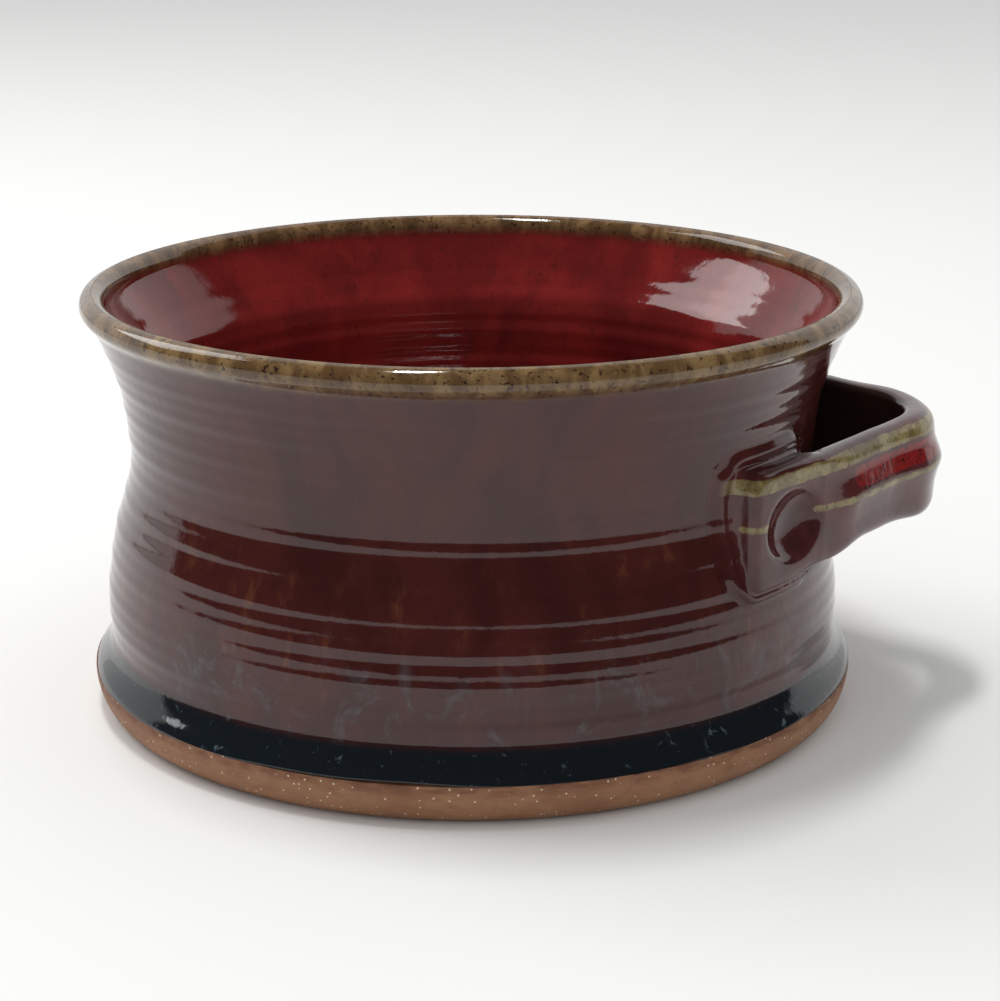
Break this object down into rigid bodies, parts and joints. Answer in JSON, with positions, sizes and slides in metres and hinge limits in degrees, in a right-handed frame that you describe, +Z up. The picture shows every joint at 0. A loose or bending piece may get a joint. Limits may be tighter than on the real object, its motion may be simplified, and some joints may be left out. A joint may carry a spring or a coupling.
{
  "type": "crock bowl",
  "caption": "Low wheel-thrown stoneware bowl with a waisted wall, a bare clay foot flange, a dark red glaze and a short strap handle looped from its side.",
  "frame": {"origin": "centre of the flat face that the foot stands on", "axes": "+Z up along the bowl's axis, +X from the axis towards the tip of the handle"},
  "size_m": [0.1572, 0.14, 0.0762],
  "materials": {
    "clay_body": "bare toasted stoneware, satin",
    "strap": "stoneware under glaze",
    "slip_near": "stoneware slip under glaze",
    "slip_far": "stoneware slip under glaze",
    "glaze_outside": "gloss, mottled dark red",
    "glaze_inside": "gloss, ox-blood red",
    "glaze_handle": "gloss, olive breaking to red"
  },
  "bodies": {
    "root": {"clay_body": "clay_body", "strap": "strap", "slip_near": "slip_near", "slip_far": "slip_far", "glaze_outside": "glaze_outside", "glaze_inside": "glaze_inside", "glaze_handle": "glaze_handle"}
  },
  "joints": []
}
